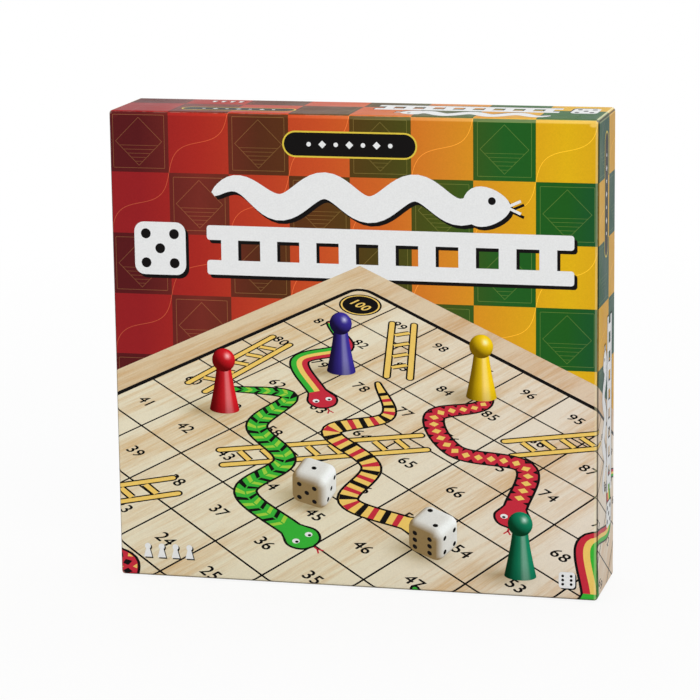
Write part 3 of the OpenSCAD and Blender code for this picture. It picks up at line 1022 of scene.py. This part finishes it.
def draw_picture(art):
    """The picture on the lid: a wooden board seen from one corner, with pawns and dice on it."""
    matrix = perspective(BOARD_CORNERS)
    place, back = through(matrix), through(np.linalg.inv(matrix))
    span = 10 + 2 * BOARD_MARGIN
    edge = [place(a, b) for a, b in block(-BOARD_MARGIN, -BOARD_MARGIN, span, span)]
    # The corners run clockwise, so the inside lies to the right of each edge
    sides = [right_of(start, end) for start, end in zip(edge, edge[1:] + edge[:1])]
    step = PICTURE_STEP
    first = int(-PICTURE_BEYOND / step)
    for i in range(first, int((art.sheet.width + PICTURE_BEYOND) / step) + 1):
        for j in range(first, int(PICTURE_TOP / step)):
            shape = block(i * step, j * step, step, step)
            for side in sides:
                shape = clip(shape, side)
                if len(shape) < 3:
                    break
            if len(shape) > 2:
                art.add("wood", 4, [(u, v, *back(u, v), *shadow(u, v)) for u, v in shape])
    draw_board(art.view(place, 4))
    for pawn in PAWNS:
        printed_pawn(art, *pawn)
    for die in DICE:
        printed_die(art, *die)


# The print round the picture

def draw_pattern(art):
    """Fine lines in the checks: a frame with a barred diamond in the dark ones, a wave in the others."""
    square = art.sheet.square
    inset, sway, steps = 2.3, 5.0, 24
    reach = square / 2 - inset - 1.4
    for row in range(-2, 10):
        for column in range(-2, 10):
            x, top = column * square, art.sheet.height - row * square
            if column not in range(8) and row not in range(8):
                continue
            if (row + column) % 2 == 0:
                frame_line = rounded(x + inset, top - square + inset, x + square - inset, top - inset, 0.4, 2)
                art.ribbon("line", 1, frame_line, 0.26, closed=True)
                cx, cy = x + square / 2, top - square / 2
                art.ribbon("line", 1, circle(cx, cy, reach, 4), 0.24, closed=True)
                for k in range(1, 6):
                    y = -reach * k / 6
                    half = reach + y
                    art.ribbon("line", 1, [(cx - half, cy + y), (cx + half, cy + y)], 0.2)
            else:
                wave = []
                for t in (k / steps for k in range(steps + 1)):
                    lean = sway * math.sin(2 * math.pi * t)
                    wave.append((x + square * t - lean * 0.7, top - square + square * t + lean * 0.7))
                art.ribbon("line", 1, wave, 0.3)


def title(art):
    """White title shapes with a hard shadow: a long snake over a ladder, and a die's face beside them."""
    wave = [(58 + 144 * k / 64, 215.5 + 6.2 * math.sin(2 * math.pi * k / 22)) for k in range(65)]
    path = Path(wave)
    steps, rail, low_rail, high_rail = 60, 8, 171.5, 190.5

    def half(run):
        return 1.4 + 5.8 * clamp(run / 40, 0, 1) ** 0.6

    def draw(ink, level, dx, dy, solid):
        shapes = art.view(lambda x, y: art.place(x + dx, y + dy), art.base + level)
        for k in range(steps):
            runs = [path.length * n / steps for n in (k, k + 1)]
            shapes.add(ink, 0, path.band(*runs, lambda run: -half(run), half))
        end = path.points[-1]
        head = [(end.x + 6 + 13 * math.cos(t), end.y + 0.5 + 10.5 * math.sin(t) * (1 - 0.25 * math.cos(t)))
                for t in (2 * math.pi * i / 28 for i in range(28))]
        eye = circle(end.x + 9, end.y + 3.6, 2.1, 16)
        shapes.fill(ink, 0.3, head, () if solid else (eye[::-1],))
        for side in (-1, 1):
            shapes.ribbon(ink, 0, [(end.x + 17, end.y + 0.5), (end.x + 24.5, end.y + 0.5 + 3.4 * side)], 1.5)
        for low in (low_rail, high_rail):
            shapes.fill(ink, 0, rounded(54, low, 255, low + rail, 1.6, 3))
        for k in range(9):
            shapes.add(ink, 0, block(62 + k * 21.8, low_rail + rail, 9.5, high_rail - low_rail - rail))
        holes = [] if solid else [circle(27.5 + a * 8, 185 + b * 8, 2.8, 16)[::-1] for a, b in PIPS[5]]
        shapes.fill(ink, 0, rounded(13, 170.5, 42, 199.5, 5.5, 5), holes)

    draw("black", 0, 1.7, -1.9, True)
    draw("white", 1, 0, 0, False)


def capsule(art, x0, y0, x1, y1, edge=0.9):
    """A black label with a gold edge and a row of plain dots and diamonds."""
    radius = min(x1 - x0, y1 - y0) / 2 - 0.01
    art.fill("gold", 2, rounded(x0 - edge, y0 - edge, x1 + edge, y1 + edge, radius + edge, 8))
    art.fill("black", 3, rounded(x0, y0, x1, y1, radius, 8))
    long_way = x1 - x0 > y1 - y0
    length = max(x1 - x0, y1 - y0)
    for k in range(7):
        along = (k - 3) * (length - 2 * radius) / 8
        x = (x0 + x1) / 2 + (along if long_way else 0)
        y = (y0 + y1) / 2 + (0 if long_way else along)
        art.fill("white", 4, circle(x, y, radius * (0.34 if k % 2 else 0.2), 4 if k % 2 else 14))


def pawn_mark(art, ink, level, x, y, size):
    foot, neck, rise = size * 0.3, size * 0.12, size * 0.66
    art.fill(ink, level + 0.2, circle(x, y + size * 0.78, size * 0.22, 14))
    art.fill(ink, level, [(x - foot, y), (x + foot, y), (x + neck, y + rise), (x - neck, y + rise)])


def small_marks(art):
    """White pawns and a die's face low on the front, and pawns on the top, which read from behind."""
    for ink, level, shift in (("black", 11.4, 0.7), ("white", 12, 0)):
        for k in range(4):
            pawn_mark(art, ink, level, 16 + k * 8 + shift, 11 - shift, 8)
            pawn_mark(art, ink, level - 8, 47 + k * 5 + shift / 2, art.sheet.height + 47 + shift / 2, -5)
        holes = [] if shift else [circle(251.5 + a * 2.3, 11 + b * 2.3, 0.8, 10)[::-1] for a, b in PIPS[6]]
        art.fill(ink, level, rounded(247 + shift, 6.5 - shift, 256 + shift, 15.5 - shift, 1.8, 4), holes)


def bar(art, level, x, y, length, thick=1.7):
    """A plain grey bar, which stands for a line of words."""
    art.add("grey", level, block(x, y, length, thick))


def wrapped(node, turn, body):
    """Papers one half of the carton, and starts the print on it with the lines of the checks."""
    wrap = Wrap(node, turn)
    paper = Finish(body + " paper")
    make_paper(wrap, body + "_paper", body, laminate(paper, checks(paper, wrap), wrap))
    art = Print(wrap, body)
    draw_pattern(art)
    return wrap, art


def decorate_lid():
    wrap, art = wrapped("lid_wrap", 1, "lid")
    width, height = wrap.width, wrap.height
    title(art.view(lambda x, y: (x, y), 2))
    title(art.view(lambda x, y: (262 - (x - 14) * 0.5, height + 44 - (y - 170) * 0.68), 2))
    title(art.view(lambda x, y: (width + 8 + (240 - y) * 0.52, 33 + (x - 14) * 0.484), 11.2))
    capsule(art, 98, 237.5, 170, 250)
    capsule(art, 38, height + 10, 100, height + 20)
    capsule(art, width + 20, 184, width + 30, 250)
    draw_picture(art)
    small_marks(art)
    art.build({**wrap_inks(wrap, "lid"), "wood": printed_wood(wrap)}, "lid_wrap")


def decorate_base():
    """The base's print, behind: the checks, and a pale panel with the board, pieces and bars for words."""
    wrap, art = wrapped("base_wrap", -1, "base")
    margin, edge, radius, cell = 20, 1.2, 6, 15
    left, low, right, high = margin, margin, wrap.width - margin, wrap.height - margin
    art.fill("gold", 2, rounded(left - edge, low - edge, right + edge, high + edge, radius + edge, 6))
    art.fill("white", 3, rounded(left, low, right, high, radius, 6))
    draw_board(art.view(lambda a, b: (left + 11 + a * cell, high - 14 - b * cell), 3))
    for k, (_, _, colour, _) in enumerate(PAWNS):
        printed_pawn(art, right - 58 + k * 14.5, high - 46, colour, 0.72)
    printed_die(art, right - 52, high - 78, 8.5, 28, (5, 3, 1))
    printed_die(art, right - 24, high - 80, 8.5, 58, (4, 6, 2))
    capsule(art, right - 66, high - 112, right - 8, high - 102)
    for k, share in enumerate((1, 0.94, 0.98, 0.6)):
        bar(art, 4, right - 66, high - 122 - k * 5, 58 * share)
    for k, share in enumerate((1, 0.97, 0.92, 0.99, 0.45)):
        for x in (left + 12, left + 118):
            bar(art, 4, x, low + 42 - k * 6.4, 92 * share)
    art.build(wrap_inks(wrap, "base"), "base_wrap")


# The print on the board and the rules

def lacquered_inks(name):
    """Screen-printed inks under a satin lacquer, with the wood's grain just felt through them."""
    made = {}
    for ink, colour in INKS.items():
        finish = Finish(name + " " + ink)
        where = finish.place()
        grain = finish.noise(finish.mapped(where, Scale=(700, 700, 24)), 1.0, 2)
        finish.colour(finish.tone(srgb(*colour), finish.between(grain, 0.3, 0.7, 0.93, 1.02)))
        finish.rough(finish.clouds(where, 60, 3, 0.3, 0.42))
        finish.bump(grain, 0.00002)
        made[ink] = finish.material
    return made


def decorate_board():
    sheet = FlatFace("game_board")
    art = Print(sheet, "board")
    middle_z = sum(sheet.up) / 2
    draw_board(art.view(lambda a, b: ((a - 5) * CELL, middle_z + (5 - b) * CELL)))
    art.build(lacquered_inks("board"), "game_board")


def decorate_leaflet():
    """The rules sheet: rows of grey bars for the words, and small plain diagrams."""
    sheet = FlatFace("rules_leaflet")
    art = Print(sheet, "leaflet")
    left, top = sheet.across[0], sheet.up[1]
    for k, share in enumerate((0.62, 1, 0.94, 0.98, 0.55, 0, 0.7, 0.96, 1, 0.92, 0.4, 0, 1, 0.95, 0.6)):
        if share:
            bar(art, 1, left + 9, top - 26 - k * 4.6, 60 * share, 1.4)
    art.fill("red", 1, rounded(left + 9, top - 17, left + 69, top - 9, 1.5, 4))
    cell, grid_left, grid_top, grid_low = 13, left + 84, top - 14, top - 66
    for k in range(5):
        x, y = grid_left + k * cell, grid_low + k * cell
        art.ribbon("grey", 1, [(x, grid_low), (x, grid_top)], 0.5)
        art.ribbon("grey", 1, [(grid_left, y), (left + 136, y)], 0.5)
    small = art.view(lambda a, b: (grid_left + a * cell, grid_top - b * cell), 1)
    ladder(small, (0.5, 3.4), (1.3, 0.6))
    snake(small, ((1.7, 3.4), (2.3, 2.7), (2.0, 1.9), (2.9, 1.4), (3.4, 0.7)), 0.34, SNAKES[0][2])
    die, line, y = 13, 0.6, top - 92
    far = die - line
    for k, pips in enumerate((1, 3, 5)):
        x = left + 86 + k * 18
        inner = rounded(x + line, y + line, x + far, y + far, 2, 4)
        art.fill("black", 1, rounded(x, y, x + die, y + die, 2.5, 4), [inner[::-1]])
        for a, b in PIPS[pips]:
            art.fill("black", 1, circle(x + die / 2 + a * 3.2, y + die / 2 + b * 3.2, 1.1, 12))
    art.build(lacquered_inks("leaflet"), "rules_leaflet")


# Finishes of the solid nodes

def dress(node, material):
    data = nodes[node].data
    data.materials.clear()
    data.materials.append(material)


def paperboard(name, pale, deep, speck, roughness):
    """Pulp board or plain paper: fibres, specks and a soft tooth."""
    finish = Finish(name, roughness)
    where = finish.place()
    fibres = finish.noise(finish.mapped(where, Scale=(900, 900, 140)), 1.0, 4)
    both = finish.times(finish.math("ADD", finish.noise(where, 260, 5), fibres), 0.5)
    toned = finish.ramp(both, [(0.38, srgb(*deep)), (0.56, srgb(*pale))])
    specks = finish.clouds(where, 1500, 1, 0.0, 1.0, 0.68, 0.74)
    finish.colour(finish.mix(finish.times(specks, 0.6), toned, srgb(*speck)))
    finish.bump(fibres, 0.00006)
    finish.bump(finish.noise(where, 2200, 2), 0.00003)
    return finish.material


def moulded(name, colour, roughness):
    """Glossy moulded plastic: a faint flow in its colour, fine scratches and a little orange peel."""
    finish = Finish(name, roughness, {"Coat Weight": 0.25, "Coat Roughness": 0.08})
    where = finish.place()
    flow = finish.clouds(where, 90, 4, 0.88, 1.05)
    finish.colour(finish.tone(srgb(*colour), flow))
    scratches = finish.mapped(where, Scale=(2000, 2000, 180))
    finish.rough(finish.clouds(scratches, 1.0, 2, roughness, roughness + 0.16, 0.35, 0.75))
    finish.bump(finish.noise(where, 700, 2), 0.00001)
    return finish.material


def formed_tray():
    """Black vacuum formed sheet: satin, finely grained, a little paler where it is drawn thin."""
    finish = Finish("tray sheet")
    where = finish.place()
    drawn_thin = finish.clouds(where, 18, 4, 0.0, 1.0, 0.35, 0.7)
    finish.colour(finish.mix(drawn_thin, srgb(24, 24, 27), srgb(38, 38, 42)))
    finish.rough(finish.clouds(where, 300, 3, 0.3, 0.44))
    finish.bump(finish.noise(where, 3200, 2), 0.00002)
    return finish.material


def die_plastic(node):
    """White plastic, black in the pips, which lie inside both the cube and the ball that rounds it."""
    finish = Finish("die plastic " + node, 0.2, {"Coat Weight": 0.3, "Coat Roughness": 0.06})
    cube_reach, ball_reach = 6.45 * MM, 9.04 * MM
    low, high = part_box(node)
    where = finish.place()
    offset = finish.node("VectorMath", {0: where, 1: (low + high) / 2}, operation="SUBTRACT").outputs[0]
    reach = finish.most(*[finish.math("ABSOLUTE", part) for part in finish.parts(offset)])
    in_cube = finish.math("LESS_THAN", reach, cube_reach)
    in_ball = finish.math("LESS_THAN", finish.length(offset), ball_reach)
    whites = [(0.35, srgb(226, 225, 219)), (0.6, srgb(240, 240, 235))]
    white = finish.ramp(finish.noise(where, 160, 3), whites)
    finish.colour(finish.mix(finish.times(in_cube, in_ball), white, srgb(18, 18, 20)))
    finish.rough(finish.clouds(where, 900, 2, 0.16, 0.28))
    finish.bump(finish.noise(where, 800, 2), 0.000008)
    return finish.material


def board_wood():
    finish = Finish("board wood")
    where = finish.place()
    turned = finish.mapped(where, Rotation=(math.pi / 2, 0, 0))
    finish.colour(wood_colour(finish, turned, srgb(236, 222, 194), srgb(212, 182, 138), 46.0))
    finish.rough(finish.clouds(where, 70, 3, 0.32, 0.46))
    finish.bump(finish.noise(finish.mapped(where, Scale=(1600, 1600, 40)), 1.0, 2), 0.00003)
    return finish.material


def dress_nodes():
    pulp = paperboard("greyboard", (150, 144, 134), (122, 116, 107), (86, 78, 70), 0.9)
    kraft = paperboard("stay tape", (186, 150, 106), (160, 124, 82), (120, 90, 60), 0.7)
    for node in nodes:
        if "stay" in node:
            dress(node, kraft)
    for node in ("lid_board", "base_board"):
        dress(node, pulp)
    dress("insert_tray", formed_tray())
    sheet = paperboard("leaflet paper", (240, 239, 234), (233, 231, 225), (216, 213, 206), 0.65)
    dress("rules_leaflet", sheet)
    dress("game_board", board_wood())
    for node, colour in (("pawn_red", (196, 26, 34)), ("pawn_yellow", (236, 190, 24)),
                         ("pawn_blue", (42, 40, 140)), ("pawn_green", (16, 122, 84))):
        dress(node, moulded(node, colour, 0.16))
    for node in ("die_a", "die_b"):
        dress(node, die_plastic(node))


# Stage, light and camera

def floor():
    """A plain white floor, which keeps a soft shadow."""
    reach, low = 4.0, -0.0004
    finish = Finish("floor", 0.9)
    finish.colour(srgb(240, 240, 240))
    glow = finish.node("Emission", {"Strength": 1.0})
    whiteness = finish.between(finish.length(finish.place()), 0.25, 1.1, 0.88, 1.0)
    mixed = finish.node("MixShader", {0: finish.times(finish.shown(), whiteness),
                                      1: finish.bsdf.outputs[0], 2: glow.outputs[0]})
    finish.put(finish.tree.nodes["Material Output"].inputs["Surface"], mixed.outputs[0])
    corners = [(x, y, low) for x, y in block(-reach, -reach, 2 * reach, 2 * reach)]
    meshed("floor", corners, [(0, 1, 2, 3)], finish.material)


def world():
    """White light from all round, at half the strength of the white that the camera sees."""
    made = bpy.data.worlds.new("studio")
    made.use_nodes = True
    studio = Nodes(made.node_tree)
    light = studio.tree.nodes["Background"]
    studio.put(light.inputs["Color"], (1, 1, 1, 1))
    studio.put(light.inputs["Strength"], 0.5)
    white = studio.node("Background", {"Color": (1, 1, 1, 1)})
    mixed = studio.node("MixShader", {0: studio.shown(), 1: light.outputs[0], 2: white.outputs[0]})
    studio.put(studio.tree.nodes["World Output"].inputs["Surface"], mixed.outputs[0])
    bpy.context.scene.world = made


def lamp(name, place, size, power):
    """A soft square light that faces the middle of the carton."""
    data = bpy.data.lights.new(name, "AREA")
    data.shape = "SQUARE"
    data.size = size
    data.energy = power
    made = linked(name, data)
    made.location = place
    towards = Vector((0, 0, 0.13)) - Vector(place)
    made.rotation_euler = towards.to_track_quat("-Z", "Y").to_euler()


def camera():
    """The photograph's camera, fitted to the carton's corners."""
    azimuth, elevation, roll = (math.radians(angle) for angle in (14.14, 11.80, -0.71))
    back = Vector((math.sin(azimuth) * math.cos(elevation), -math.cos(azimuth) * math.cos(elevation),
                   math.sin(elevation)))
    right = Vector((math.cos(azimuth), math.sin(azimuth), 0))
    up = back.cross(right)
    tilted_right = right * math.cos(roll) + up * math.sin(roll)
    tilted_up = up * math.cos(roll) - right * math.sin(roll)
    data = bpy.data.cameras.new("camera")
    data.sensor_width = 36.0
    data.lens = 157.6
    made = linked("camera", data)
    matrix = Matrix((tilted_right, tilted_up, back)).transposed().to_4x4()
    matrix.translation = Vector((0.3932, -1.5917, 0.4698))
    made.matrix_world = matrix
    bpy.context.scene.camera = made


dress_nodes()
decorate_lid()
decorate_base()
decorate_board()
decorate_leaflet()
floor()
world()
lamp("key", (0.9, -1.7, 1.5), 1.4, 17)
lamp("fill", (-1.4, -1.4, 0.9), 1.6, 7)
lamp("top", (0.0, 0.5, 1.7), 1.2, 9)
camera()
bpy.context.scene.view_settings.view_transform = "Standard"
